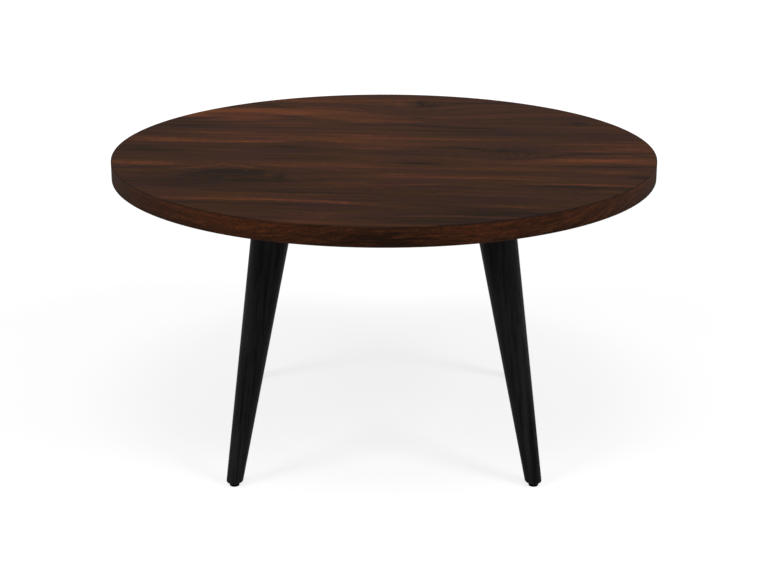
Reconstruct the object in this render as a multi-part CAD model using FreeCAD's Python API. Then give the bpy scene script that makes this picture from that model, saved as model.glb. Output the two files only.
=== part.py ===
import FreeCAD, Part
import math
import os

# Round cocktail table: a veneered disc top on four splayed, tapered legs.
# Millimetres. +Z is up, -Y is the front, and the origin is on the floor under the middle of the top.
# Each leg is screwed to a steel plate, the plate is bolted to threaded inserts in the top,
# and each leg stands on a leveller that screws into its foot.
# The pieces of a leg are drawn with the leg's outward direction along +X, then turned to their corner.

# Overall sizes
OVERALL_HEIGHT = 449.0
TOP_DIAMETER = 813.0
TOP_THICKNESS = 28.6

# Layers of the top
VENEER_THICKNESS = 1.5
EDGE_BAND_THICKNESS = 3.0
RIM_ROUND = 1.2

# Legs: diameters are square to the leg's axis, at the middle of its two level ends
LEG_CIRCLE_RADIUS = 218.0
LEG_SPLAY_DEG = 12.5
LEG_TOP_DIAMETER = 60.3
LEG_FOOT_DIAMETER = 24.0
LEG_FOOT_ROUND = 3.0

# Leg plates
PLATE_SIDE = 92.0
PLATE_THICKNESS = 3.0
PLATE_CORNER_RADIUS = 12.0
PLATE_HOLE_SPACING = 68.0
PLATE_HOLE_DIAMETER = 6.6

# Button-head machine screws, plate to top
SCREW_DIAMETER = 6.0
SCREW_LENGTH = 16.0
SCREW_HEAD_DIAMETER = 10.5
SCREW_HEAD_FLAT_DIAMETER = 5.8
SCREW_HEAD_HEIGHT = 3.3
SCREW_KEY_ACROSS_FLATS = 4.0
SCREW_KEY_DEPTH = 2.0

# Threaded inserts in the top
INSERT_DIAMETER = 10.0
INSERT_LENGTH = 13.0
INSERT_FLANGE_DIAMETER = 13.0
INSERT_FLANGE_THICKNESS = 1.4

# Countersunk wood screws, plate to leg: places are measured from the plate's middle, outwards and sideways
WOOD_SCREW_DIAMETER = 5.0
WOOD_SCREW_LENGTH = 45.0
WOOD_SCREW_HEAD_DIAMETER = 10.0
WOOD_SCREW_TIP_LENGTH = 6.0
WOOD_SCREW_KEY_ACROSS_FLATS = 3.0
WOOD_SCREW_KEY_DEPTH = 1.6
WOOD_SCREW_INNER_OFFSET = 8.0
WOOD_SCREW_OUTER_OFFSET = 10.0
WOOD_SCREW_SIDE_OFFSET = 14.0

# Levellers: a nylon pad moulded on a threaded stud
PAD_DIAMETER = 14.4
PAD_HEIGHT = 5.3
PAD_SOLE_ROUND = 1.5
PAD_TOP_ROUND = 0.5
PAD_FLUTE_COUNT = 14
PAD_FLUTE_DIAMETER = 1.3
PAD_SOLE_THICKNESS = 1.6
STUD_DIAMETER = 6.0
STUD_END_CHAMFER = 0.8
STUD_COLLAR_DIAMETER = 9.0
STUD_COLLAR_THICKNESS = 1.6
LEVELLER_TRAVEL = 8.0
LEVELLER_THREAD_ENGAGEMENT = 10.0

# Threaded inserts in the legs' feet
FOOT_INSERT_DIAMETER = 9.0
FOOT_INSERT_LENGTH = 14.0
FOOT_INSERT_FLANGE_DIAMETER = 11.4
FOOT_INSERT_FLANGE_THICKNESS = 1.0

# Clearances: fixed fits, turning threads, leg end to pad, leg's bore to stud, room past a screw's end,
# and how far a cutting shape runs past what it cuts
FIT_GAP = 0.05
THREAD_GAP = 0.05
PAD_GAP = 0.3
STUD_BORE_GAP = 0.3
SCREW_END_ROOM = 2.0
OVERRUN = 5.0

# How near an edge's ends are to a level to lie in it
LEVEL_TOLERANCE = 0.01

# Levels and places that follow from the sizes above
TOP_RADIUS = TOP_DIAMETER / 2
UNDERSIDE = OVERALL_HEIGHT - TOP_THICKNESS
CORE_BOTTOM = UNDERSIDE + VENEER_THICKNESS
CORE_TOP = OVERALL_HEIGHT - VENEER_THICKNESS
PLATE_BOTTOM = UNDERSIDE - PLATE_THICKNESS
LEG_TOP = PLATE_BOTTOM
LEG_BOTTOM = PAD_HEIGHT + PAD_GAP
LEG_SLOPE = math.tan(math.radians(LEG_SPLAY_DEG))
FOOT_CIRCLE_RADIUS = LEG_CIRCLE_RADIUS + LEG_SLOPE * (LEG_TOP - LEG_BOTTOM)
STUD_LENGTH = LEVELLER_TRAVEL + LEVELLER_THREAD_ENGAGEMENT
STUD_TOP = PAD_HEIGHT + STUD_LENGTH
SCREW_TIP = PLATE_BOTTOM + SCREW_LENGTH

# Corners of the table in turn round it, and the direction in which each one's leg points out
CORNERS = ("front_left", "front_right", "rear_right", "rear_left")
FIRST_CORNER_DEG = 225.0
FULL_TURN_DEG = 360.0
CORNER_DIRECTIONS_DEG = {
    corner: (FIRST_CORNER_DEG + FULL_TURN_DEG * place / len(CORNERS)) % FULL_TURN_DEG
    for place, corner in enumerate(CORNERS)
}


def cylinder(diameter, bottom, top, x=0.0, y=0.0):
    """An upright cylinder between two levels."""
    return Part.makeCylinder(diameter / 2, top - bottom, FreeCAD.Vector(x, y, bottom))


def hexagon(across_flats, bottom, top, x=0.0, y=0.0):
    """An upright hexagonal prism between two levels, such as a key's socket."""
    reach = across_flats / 2 / math.cos(math.pi / 6)
    corners = [
        FreeCAD.Vector(x + reach * math.cos(turn), y + reach * math.sin(turn), bottom)
        for turn in (math.pi / 3 * step for step in range(7))
    ]
    face = Part.Face(Part.makePolygon(corners))
    return face.extrude(FreeCAD.Vector(0, 0, top - bottom))


def edges_at(shape, level):
    """The edges of a shape that lie flat at one level."""
    return [
        edge
        for edge in shape.Edges
        if abs(edge.BoundBox.ZMin - level) < LEVEL_TOLERANCE
        and abs(edge.BoundBox.ZMax - level) < LEVEL_TOLERANCE
    ]


def flanged_insert(diameter, length, flange_diameter, flange_thickness, bottom, x, y, grow=0.0):
    """The outside of a threaded insert whose flange is flush at its bottom, or its pocket if grown."""
    body = cylinder(diameter + 2 * grow, bottom, bottom + length, x, y)
    flange = cylinder(flange_diameter + 2 * grow, bottom, bottom + flange_thickness, x, y)
    return body.fuse(flange).removeSplitter()


def turned_to(shape, direction_deg):
    """A leg piece turned from +X to its corner."""
    turned = shape.copy()
    turned.rotate(FreeCAD.Vector(0, 0, 0), FreeCAD.Vector(0, 0, 1), direction_deg)
    return turned


def plate_hole_places():
    """Where the plate is bolted to the top, for the leg along +X."""
    half = PLATE_HOLE_SPACING / 2
    return [
        (LEG_CIRCLE_RADIUS + across * half, along * half)
        for across in (-1, 1)
        for along in (-1, 1)
    ]


def wood_screw_places():
    """Where the plate is screwed to the leg's end, for the leg along +X: three places inside the leg."""
    outer = LEG_CIRCLE_RADIUS + WOOD_SCREW_OUTER_OFFSET
    return [
        (LEG_CIRCLE_RADIUS - WOOD_SCREW_INNER_OFFSET, 0.0),
        (outer, -WOOD_SCREW_SIDE_OFFSET),
        (outer, WOOD_SCREW_SIDE_OFFSET),
    ]


def at_every_corner(shapes):
    """Copies of leg pieces at all four corners, as one flat list."""
    directions = CORNER_DIRECTIONS_DEG.values()
    return [turned_to(shape, direction) for direction in directions for shape in shapes]


def insert_pockets():
    """The pockets of one leg's inserts in the top, with room past each screw's end."""
    pockets = []
    deepest = max(UNDERSIDE + INSERT_LENGTH, SCREW_TIP) + SCREW_END_ROOM
    for x, y in plate_hole_places():
        pocket = flanged_insert(
            INSERT_DIAMETER,
            INSERT_LENGTH,
            INSERT_FLANGE_DIAMETER,
            INSERT_FLANGE_THICKNESS,
            UNDERSIDE,
            x,
            y,
            FIT_GAP,
        )
        screw_room = cylinder(SCREW_DIAMETER + 2 * THREAD_GAP, UNDERSIDE, deepest, x, y)
        pockets.append(pocket.fuse(screw_room))
    return pockets


def top_core():
    """The engineered-wood disc inside the top, with the inserts' pockets in its underside."""
    disc = cylinder(TOP_DIAMETER - 2 * EDGE_BAND_THICKNESS, CORE_BOTTOM, CORE_TOP)
    return disc.cut(at_every_corner(insert_pockets()))


def edge_band():
    """The walnut lipping round the core."""
    outside = cylinder(TOP_DIAMETER, CORE_BOTTOM, CORE_TOP)
    inside = cylinder(TOP_DIAMETER - 2 * EDGE_BAND_THICKNESS, CORE_BOTTOM - OVERRUN, CORE_TOP + OVERRUN)
    return outside.cut(inside)


def face_veneer():
    """The walnut veneer on top, over the core and the edge band, with an eased rim."""
    disc = cylinder(TOP_DIAMETER, CORE_TOP, OVERALL_HEIGHT)
    return disc.makeFillet(RIM_ROUND, edges_at(disc, OVERALL_HEIGHT))


def backing_veneer():
    """The balancing veneer underneath, eased at its rim and open at the inserts."""
    disc = cylinder(TOP_DIAMETER, UNDERSIDE, CORE_BOTTOM)
    disc = disc.makeFillet(RIM_ROUND, edges_at(disc, UNDERSIDE))
    return disc.cut(at_every_corner(insert_pockets()))


def leg_blank():
    """A tapered round leg along its splayed axis, cut level at both ends and eased at the foot."""
    axis_length = (LEG_TOP - LEG_BOTTOM) / math.cos(math.radians(LEG_SPLAY_DEG))
    taper = (LEG_TOP_DIAMETER - LEG_FOOT_DIAMETER) / 2 / axis_length
    spare = LEG_TOP_DIAMETER / 2 * LEG_SLOPE + OVERRUN
    foot_spare = LEG_FOOT_DIAMETER / 2 * LEG_SLOPE + OVERRUN
    up = FreeCAD.Vector(LEG_CIRCLE_RADIUS - FOOT_CIRCLE_RADIUS, 0, LEG_TOP - LEG_BOTTOM).normalize()
    start = FreeCAD.Vector(FOOT_CIRCLE_RADIUS, 0, LEG_BOTTOM) - up * foot_spare
    cone = Part.makeCone(
        LEG_FOOT_DIAMETER / 2 - taper * foot_spare,
        LEG_TOP_DIAMETER / 2 + taper * spare,
        axis_length + foot_spare + spare,
        start,
        up,
    )
    reach = FOOT_CIRCLE_RADIUS + LEG_TOP_DIAMETER
    slab = Part.makeBox(
        2 * reach,
        2 * reach,
        LEG_TOP - LEG_BOTTOM,
        FreeCAD.Vector(-reach, -reach, LEG_BOTTOM),
    )
    blank = cone.common(slab)
    return blank.makeFillet(LEG_FOOT_ROUND, edges_at(blank, LEG_BOTTOM))


def leg():
    """The leg with its screw holes on top and the leveller's bore in its foot."""
    cuts = [
        cylinder(
            WOOD_SCREW_DIAMETER + 2 * FIT_GAP,
            UNDERSIDE - WOOD_SCREW_LENGTH - SCREW_END_ROOM,
            LEG_TOP + OVERRUN,
            x,
            y,
        )
        for x, y in wood_screw_places()
    ]
    cuts.append(foot_insert_outline(FIT_GAP))
    stud_room = cylinder(
        STUD_DIAMETER + 2 * STUD_BORE_GAP,
        LEG_BOTTOM,
        max(STUD_TOP, LEG_BOTTOM + FOOT_INSERT_LENGTH) + SCREW_END_ROOM,
        FOOT_CIRCLE_RADIUS,
    )
    cuts.append(stud_room)
    return leg_blank().cut(cuts)


def leg_plate():
    """The steel plate between leg and top, drilled for the bolts and countersunk for the wood screws."""
    half = PLATE_SIDE / 2
    corner = FreeCAD.Vector(LEG_CIRCLE_RADIUS - half, -half, PLATE_BOTTOM)
    plate = Part.makeBox(PLATE_SIDE, PLATE_SIDE, PLATE_THICKNESS, corner)
    upright = [edge for edge in plate.Edges if edge.BoundBox.ZLength > PLATE_THICKNESS / 2]
    plate = plate.makeFillet(PLATE_CORNER_RADIUS, upright)
    holes = [
        cylinder(PLATE_HOLE_DIAMETER, PLATE_BOTTOM - OVERRUN, UNDERSIDE + OVERRUN, x, y)
        for x, y in plate_hole_places()
    ]
    for x, y in wood_screw_places():
        holes.append(
            cylinder(WOOD_SCREW_DIAMETER + 2 * FIT_GAP, PLATE_BOTTOM - OVERRUN, UNDERSIDE + OVERRUN, x, y)
        )
        holes.append(countersink(x, y, FIT_GAP))
    return plate.cut(holes)


def countersink(x, y, grow=0.0):
    """A wood screw's right-angled head, flush with the plate's upper face, or its seat if grown."""
    deep = (WOOD_SCREW_HEAD_DIAMETER - WOOD_SCREW_DIAMETER) / 2
    return Part.makeCone(
        WOOD_SCREW_DIAMETER / 2 + grow,
        WOOD_SCREW_HEAD_DIAMETER / 2 + grow,
        deep,
        FreeCAD.Vector(x, y, UNDERSIDE - deep),
    )


def wood_screw(x, y):
    """A countersunk wood screw, driven down through the plate into the leg."""
    tip = UNDERSIDE - WOOD_SCREW_LENGTH
    shank = cylinder(WOOD_SCREW_DIAMETER, tip + WOOD_SCREW_TIP_LENGTH, UNDERSIDE, x, y)
    point = Part.makeCone(0, WOOD_SCREW_DIAMETER / 2, WOOD_SCREW_TIP_LENGTH, FreeCAD.Vector(x, y, tip))
    screw = countersink(x, y).fuse([shank, point]).removeSplitter()
    key = hexagon(WOOD_SCREW_KEY_ACROSS_FLATS, UNDERSIDE - WOOD_SCREW_KEY_DEPTH, UNDERSIDE + OVERRUN, x, y)
    return screw.cut(key)


def plate_screw(x, y):
    """A button-head screw, driven up through the plate into its insert."""
    rim = SCREW_HEAD_DIAMETER / 2
    flat = SCREW_HEAD_FLAT_DIAMETER / 2
    crown = PLATE_BOTTOM - SCREW_HEAD_HEIGHT
    dome_radius = ((rim - flat) ** 2 + SCREW_HEAD_HEIGHT**2) / (2 * SCREW_HEAD_HEIGHT)
    lean = math.asin((rim - flat) / dome_radius) / 2
    bulge_x = flat + dome_radius * math.sin(lean)
    bulge_z = crown + dome_radius * (1 - math.cos(lean))
    dome = Part.Arc(
        FreeCAD.Vector(rim, 0, PLATE_BOTTOM),
        FreeCAD.Vector(bulge_x, 0, bulge_z),
        FreeCAD.Vector(flat, 0, crown),
    ).toShape()
    outline = Part.Wire(
        [
            dome,
            Part.makeLine((flat, 0, crown), (0, 0, crown)),
            Part.makeLine((0, 0, crown), (0, 0, PLATE_BOTTOM)),
            Part.makeLine((0, 0, PLATE_BOTTOM), (rim, 0, PLATE_BOTTOM)),
        ]
    )
    head = Part.Face(outline).revolve(FreeCAD.Vector(0, 0, 0), FreeCAD.Vector(0, 0, 1), FULL_TURN_DEG)
    shank = cylinder(SCREW_DIAMETER, PLATE_BOTTOM, SCREW_TIP)
    key = hexagon(SCREW_KEY_ACROSS_FLATS, crown - OVERRUN, crown + SCREW_KEY_DEPTH)
    screw = head.fuse(shank).cut(key)
    screw.translate(FreeCAD.Vector(x, y, 0))
    return screw


def top_insert(x, y):
    """A flanged threaded insert in the top, flush with the underside."""
    outside = flanged_insert(
        INSERT_DIAMETER,
        INSERT_LENGTH,
        INSERT_FLANGE_DIAMETER,
        INSERT_FLANGE_THICKNESS,
        UNDERSIDE,
        x,
        y,
    )
    bore = cylinder(
        SCREW_DIAMETER + 2 * THREAD_GAP,
        UNDERSIDE - OVERRUN,
        UNDERSIDE + INSERT_LENGTH + OVERRUN,
        x,
        y,
    )
    return outside.cut(bore)


def foot_insert_outline(grow=0.0):
    """The outside of a foot's threaded insert, flush with the leg's end, or its pocket if grown."""
    return flanged_insert(
        FOOT_INSERT_DIAMETER,
        FOOT_INSERT_LENGTH,
        FOOT_INSERT_FLANGE_DIAMETER,
        FOOT_INSERT_FLANGE_THICKNESS,
        LEG_BOTTOM,
        FOOT_CIRCLE_RADIUS,
        0.0,
        grow,
    )


def foot_insert():
    """The threaded insert in a leg's foot, which the leveller's stud turns in."""
    bore = cylinder(
        STUD_DIAMETER + 2 * THREAD_GAP,
        LEG_BOTTOM - OVERRUN,
        LEG_BOTTOM + FOOT_INSERT_LENGTH + OVERRUN,
        FOOT_CIRCLE_RADIUS,
    )
    return foot_insert_outline().cut(bore)


def stud_anchor(grow=0.0):
    """The part of a stud that its pad is moulded round, or the hollow for it in the pad if grown."""
    stem = cylinder(STUD_DIAMETER + 2 * grow, PAD_SOLE_THICKNESS, PAD_HEIGHT, FOOT_CIRCLE_RADIUS)
    collar = cylinder(
        STUD_COLLAR_DIAMETER + 2 * grow,
        PAD_SOLE_THICKNESS,
        PAD_SOLE_THICKNESS + STUD_COLLAR_THICKNESS,
        FOOT_CIRCLE_RADIUS,
    )
    return stem.fuse(collar)


def leveller_stud():
    """The threaded steel stud of a leveller, with the collar that anchors it in the pad."""
    chamfer_bottom = STUD_TOP - STUD_END_CHAMFER
    stem = cylinder(STUD_DIAMETER, PAD_SOLE_THICKNESS, chamfer_bottom, FOOT_CIRCLE_RADIUS)
    end = Part.makeCone(
        STUD_DIAMETER / 2,
        STUD_DIAMETER / 2 - STUD_END_CHAMFER,
        STUD_END_CHAMFER,
        FreeCAD.Vector(FOOT_CIRCLE_RADIUS, 0, chamfer_bottom),
    )
    return stud_anchor().fuse([stem, end]).removeSplitter()


def leveller_pad():
    """The nylon pad of a leveller: a disc with a rounded sole and finger flutes round its rim."""
    disc = cylinder(PAD_DIAMETER, 0.0, PAD_HEIGHT, FOOT_CIRCLE_RADIUS)
    disc = disc.makeFillet(PAD_SOLE_ROUND, edges_at(disc, 0.0))
    disc = disc.makeFillet(PAD_TOP_ROUND, edges_at(disc, PAD_HEIGHT))
    flutes = []
    for step in range(PAD_FLUTE_COUNT):
        turn = 2 * math.pi * step / PAD_FLUTE_COUNT
        x = FOOT_CIRCLE_RADIUS + PAD_DIAMETER / 2 * math.cos(turn)
        y = PAD_DIAMETER / 2 * math.sin(turn)
        flutes.append(cylinder(PAD_FLUTE_DIAMETER, PAD_SOLE_ROUND, PAD_HEIGHT + OVERRUN, x, y))
    return disc.cut(flutes).cut(stud_anchor(FIT_GAP))


def leg_pieces():
    """Every piece of one leg along +X, by name: each value is a list of separate solids."""
    return {
        "leg": [leg()],
        "leg_plate": [leg_plate()],
        "leg_screws": [wood_screw(x, y) for x, y in wood_screw_places()],
        "plate_screws": [plate_screw(x, y) for x, y in plate_hole_places()],
        "top_inserts": [top_insert(x, y) for x, y in plate_hole_places()],
        "foot_insert": [foot_insert()],
        "leveller_stud": [leveller_stud()],
        "leveller_pad": [leveller_pad()],
    }


def table_pieces():
    """Every node of the table: the layers of the top, then each leg's pieces at each corner."""
    nodes = {
        "top_core": [top_core()],
        "edge_band": [edge_band()],
        "face_veneer": [face_veneer()],
        "backing_veneer": [backing_veneer()],
    }
    for name, shapes in leg_pieces().items():
        for corner, direction in CORNER_DIRECTIONS_DEG.items():
            nodes[f"{name}_{corner}"] = [turned_to(shape, direction) for shape in shapes]
    return nodes


def main():
    """Writes one STEP file for each node."""
    os.makedirs("parts", exist_ok=True)
    for name, shapes in table_pieces().items():
        solids = [solid for shape in shapes for solid in shape.Solids]
        node = solids[0] if len(solids) == 1 else Part.makeCompound(solids)
        node.exportStep(f"parts/{name}.step")


main()
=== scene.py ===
"""Dresses the round cocktail table: its walnut top, black legs, plates, bolts and levellers."""

import logging
import math
from dataclasses import dataclass, fields
from enum import Enum
from typing import Any, ClassVar, Union

import bmesh
import bpy
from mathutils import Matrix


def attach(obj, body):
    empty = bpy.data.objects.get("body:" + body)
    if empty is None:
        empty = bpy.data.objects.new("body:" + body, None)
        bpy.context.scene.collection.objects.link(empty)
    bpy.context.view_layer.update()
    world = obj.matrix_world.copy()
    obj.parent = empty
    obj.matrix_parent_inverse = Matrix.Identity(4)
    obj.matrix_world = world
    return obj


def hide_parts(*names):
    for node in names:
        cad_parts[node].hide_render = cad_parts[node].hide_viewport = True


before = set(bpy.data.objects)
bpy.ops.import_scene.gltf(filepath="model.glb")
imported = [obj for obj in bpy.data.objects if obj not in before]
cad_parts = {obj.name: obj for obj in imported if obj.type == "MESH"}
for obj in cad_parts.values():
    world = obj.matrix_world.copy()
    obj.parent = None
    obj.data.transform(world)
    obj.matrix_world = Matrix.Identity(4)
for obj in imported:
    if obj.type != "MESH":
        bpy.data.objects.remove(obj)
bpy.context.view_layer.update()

LOG = logging.getLogger("cocktail_table")
TABLE_BODY = "table"
MM = 0.001
PER_MM = 1000.0
FULL_TURN = 2 * math.pi
QUARTER_TURN = math.pi / 2
RIGHT_ANGLE_DEG = 90.0
HALF = 0.5
# A soft spot fades out at this many times its half length and half width.
SPOT_REACH = 2.4
# Points nearer than this, in metres, become one where a seam or pole closes.
MERGE_DISTANCE = 1e-6

Number = Union[float, int, "Field"]
Colour = tuple[float, float, float]
Span = tuple[float, float]


class Corner(Enum):
    """The four corners of the table, each with the direction in which its leg points out."""

    FRONT_LEFT = 225.0
    FRONT_RIGHT = 315.0
    REAR_RIGHT = 45.0
    REAR_LEFT = 135.0

    @property
    def label(self) -> str:
        """The corner's name as the CAD nodes spell it."""
        return self.name.lower()

    @property
    def turn(self) -> float:
        """The corner's direction in radians."""
        return math.radians(self.value)


class Side(Enum):
    """The two sides of the top that carry a veneer."""

    FACE = "face"
    BACKING = "backing"


class Field:
    """A number carried by a node's output, which Python expressions can use."""

    def __init__(self, book: "NodeBook", socket: bpy.types.NodeSocket) -> None:
        """Wraps one output socket of a tree."""
        self.book = book
        self.socket = socket

    def maths(self, operation: str, *others: Number) -> "Field":
        """Adds a Math node with this value first.

        Args:
            operation: the Math node's operation.
            others: its further values.

        Returns:
            The node's result.
        """
        return self.book.maths(operation, self, *others)

    def __add__(self, other: Number) -> "Field":
        """The sum."""
        return self.maths("ADD", other)

    __radd__ = __add__

    def __sub__(self, other: Number) -> "Field":
        """The difference."""
        return self.maths("SUBTRACT", other)

    def __rsub__(self, other: Number) -> "Field":
        """The difference, the other way round."""
        return self.book.maths("SUBTRACT", other, self)

    def __mul__(self, other: Number) -> "Field":
        """The product."""
        return self.maths("MULTIPLY", other)

    __rmul__ = __mul__

    def __truediv__(self, other: Number) -> "Field":
        """The quotient."""
        return self.maths("DIVIDE", other)

    def __rtruediv__(self, other: Number) -> "Field":
        """The quotient, the other way round."""
        return self.book.maths("DIVIDE", other, self)

    def __pow__(self, other: Number) -> "Field":
        """The power."""
        return self.maths("POWER", other)

    def __neg__(self) -> "Field":
        """The opposite."""
        return self.maths("MULTIPLY", -1.0)

    def clamp(self, low: float = 0.0, high: float = 1.0) -> "Field":
        """The value held between two limits."""
        return self.maths("MAXIMUM", low).maths("MINIMUM", high)

    def smoothstep(self, low: float, high: float) -> "Field":
        """A smooth rise from 0 at one value to 1 at another."""
        sockets = {"Value": self, "From Min": low, "From Max": high}
        return self.book.node("ShaderNodeMapRange", {"interpolation_type": "SMOOTHSTEP"}, sockets)


class NodeBook:
    """A node tree that is written as Python expressions."""

    def __init__(self, tree: bpy.types.NodeTree) -> None:
        """Starts on an empty tree."""
        self.tree = tree

    @staticmethod
    def _input(node: bpy.types.Node, key: Union[str, int]) -> bpy.types.NodeSocket:
        """The node's live input with that name or number."""
        live = (socket for socket in node.inputs if socket.name == key and socket.enabled)
        return node.inputs[key] if isinstance(key, int) else next(live)

    @staticmethod
    def _output(node: bpy.types.Node, name: str) -> bpy.types.NodeSocket:
        """The node's live output with that name, or its first live one."""
        live = [socket for socket in node.outputs if socket.enabled]
        return next((socket for socket in live if socket.name == name), live[0] if live else None)

    def node(
        self,
        kind: str,
        settings: dict[str, Any] | None = None,
        sockets: dict[Union[str, int], Any] | None = None,
        output: str = "",
    ) -> Field:
        """Adds a node.

        Args:
            kind: the node's type.
            settings: its own settings, which are set first, with a ramp's stops under "stops",
                a texture's own mapping under "mapping" and a switch's items under "items".
            sockets: values or links for its inputs, by name or number.
            output: the output that is wanted, if it isn't the first.

        Returns:
            The output, ready for expressions.
        """
        node = self.tree.nodes.new(kind)
        for name, value in (settings or {}).items():
            if name == "stops":
                self._set_stops(node.color_ramp, value)
            elif name == "mapping":
                for part, setting in value.items():
                    setattr(node.texture_mapping, part, setting)
            elif name == "items":
                for _ in range(value - len(node.index_switch_items)):
                    node.index_switch_items.new()
            else:
                setattr(node, name, value)
        for key, value in (sockets or {}).items():
            socket = self._input(node, key)
            if isinstance(value, Field):
                self.tree.links.new(value.socket, socket)
            else:
                socket.default_value = value
        return Field(self, self._output(node, output))

    @staticmethod
    def _set_stops(ramp: bpy.types.ColorRamp, stops: list[tuple[float, Colour]]) -> None:
        """Gives a ramp its stops.

        Args:
            ramp: the ramp of a new node.
            stops: each stop's position and colour.
        """
        while len(ramp.elements) < len(stops):
            ramp.elements.new(1.0)
        for element, (position, colour) in zip(ramp.elements, stops):
            element.position = position
            element.color = (*colour, 1.0)

    def maths(self, operation: str, *values: Number) -> Field:
        """A Math node on up to three values."""
        return self.node("ShaderNodeMath", {"operation": operation}, dict(enumerate(values)))

    def vector_maths(self, operation: str, *vectors: Any, output: str = "") -> Field:
        """A Vector Math node on up to three vectors."""
        settings = {"operation": operation}
        return self.node("ShaderNodeVectorMath", settings, dict(enumerate(vectors)), output)

    def combine(self, x: Number, y: Number, z: Number = 0.0) -> Field:
        """A vector from three numbers."""
        return self.node("ShaderNodeCombineXYZ", {}, {"X": x, "Y": y, "Z": z})

    def separate(self, vector: Field) -> tuple[Field, ...]:
        """The three numbers of a vector."""
        first = self.node("ShaderNodeSeparateXYZ", {}, {"Vector": vector})
        return tuple(Field(self, output) for output in first.socket.node.outputs)

    def scaled(self, place: tuple[Field, ...], sizes: tuple[float, ...], seed: float = 0.0) -> Field:
        """A place measured in lumps of a pattern.

        Args:
            place: where the surface is, in millimetres, as two or three numbers.
            sizes: the size of a lump in each of those directions.
            seed: the third number where the place has two.

        Returns:
            The place as a vector.
        """
        parts: list[Number] = [part / size for part, size in zip(place, sizes)]
        return self.combine(*parts) if len(parts) > 2 else self.combine(*parts, seed)

    def noise(self, vector: Field, detail: float = 0.0, roughness: float = 0.5) -> Field:
        """Smooth noise about zero, one lump to each unit of the vector."""
        sockets = {"Vector": vector, "Scale": 1.0, "Detail": detail, "Roughness": roughness}
        return self.node("ShaderNodeTexNoise", {}, sockets) - HALF

    def layer(self, layer: "Layer", place: tuple[Field, ...], seed: float = 0.0) -> Field:
        """A layer of noise.

        Args:
            layer: the size of its lumps and how they are drawn.
            place: where the surface is, in millimetres, as two or three numbers.
            seed: a number of the finish's own, where the place has two numbers.

        Returns:
            Noise about zero, or a mask from 0 to 1 where the layer has an edge.
        """
        where = self.scaled(place, layer.size, layer.seed + seed)
        value = self.noise(where, layer.detail, layer.roughness)
        return value.smoothstep(*layer.edge) if layer.edge else value

    def spots(self, place: Field, spots: tuple["Spot", ...]) -> Number:
        """The sum of soft oval spots.

        Args:
            place: where the surface is, as a vector of millimetres.
            spots: the ovals, each with its strength.

        Returns:
            The spots' strength there, or plain 0 without spots.
        """
        total: Number = 0.0
        for spot in spots:
            mapping = {
                "vector_type": "TEXTURE",
                "translation": (spot.along, spot.across, 0.0),
                "rotation": (0.0, 0.0, math.radians(spot.tilt_deg)),
                "scale": (spot.half_length * SPOT_REACH, spot.half_width * SPOT_REACH, 1.0),
            }
            settings = {"gradient_type": "QUADRATIC_SPHERE", "mapping": mapping}
            oval = self.node("ShaderNodeTexGradient", settings, {"Vector": place}, "Fac")
            total = oval.maths("MULTIPLY_ADD", spot.strength, total)
        return total

    def mix(self, share: Number, first: Any, second: Any, blend: str = "MIX") -> Field:
        """A colour between two colours.

        Args:
            share: how much of the second colour there is.
            first: the first colour, as numbers or a field.
            second: the second colour, likewise.
            blend: the way the two are mixed.

        Returns:
            The mixed colour.
        """
        settings = {"data_type": "RGBA", "blend_type": blend}
        colours = [(*part, 1.0) if isinstance(part, tuple) else part for part in (first, second)]
        sockets = {"Factor": share, "A": colours[0], "B": colours[1]}
        return self.node("ShaderNodeMix", settings, sockets)

    def ramp(self, value: Field, stops: list[tuple[float, Colour]]) -> Field:
        """A colour from a ramp."""
        return self.node("ShaderNodeValToRGB", {"stops": stops}, {"Fac": value})


@dataclass(frozen=True)
class Spot:
    """A soft oval mark in a wood's figure, in millimetres: lighter if its strength is positive."""

    along: float
    across: float
    half_length: float
    half_width: float
    strength: float
    tilt_deg: float = 0.0


@dataclass(frozen=True)
class Lens:
    """A dark lens in the grain, crisp along its arched far side and soft along its near side."""

    along: float
    base: float
    half_length: float
    rise: float
    strength: float


@dataclass(frozen=True)
class Eye:
    """A place that the grain flows round or sags at, in millimetres along and across the grain."""

    along: float
    across: float
    half_length: float
    half_width: float
    spread: float
    sag: float = 0.0
    calm: float = 0.6


@dataclass(frozen=True)
class Slant:
    """A stretch of the rim, in millimetres along it, over which the grain climbs."""

    middle: float
    reach: float
    rise: float


@dataclass(frozen=True)
class Layer:
    """A layer of noise in a finish: the size of its lumps in millimetres, and how much it shows.

    A layer with an edge is a mask that rises between those two values. Its strength is its share
    of the tone, or the millimetres by which it bends the grain.
    """

    size: tuple[float, ...]
    detail: float = 0.0
    seed: float = 0.0
    edge: Span | None = None
    strength: float = 1.0
    rough: float = 0.0
    relief: float = 0.0
    roughness: float = 0.5


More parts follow.
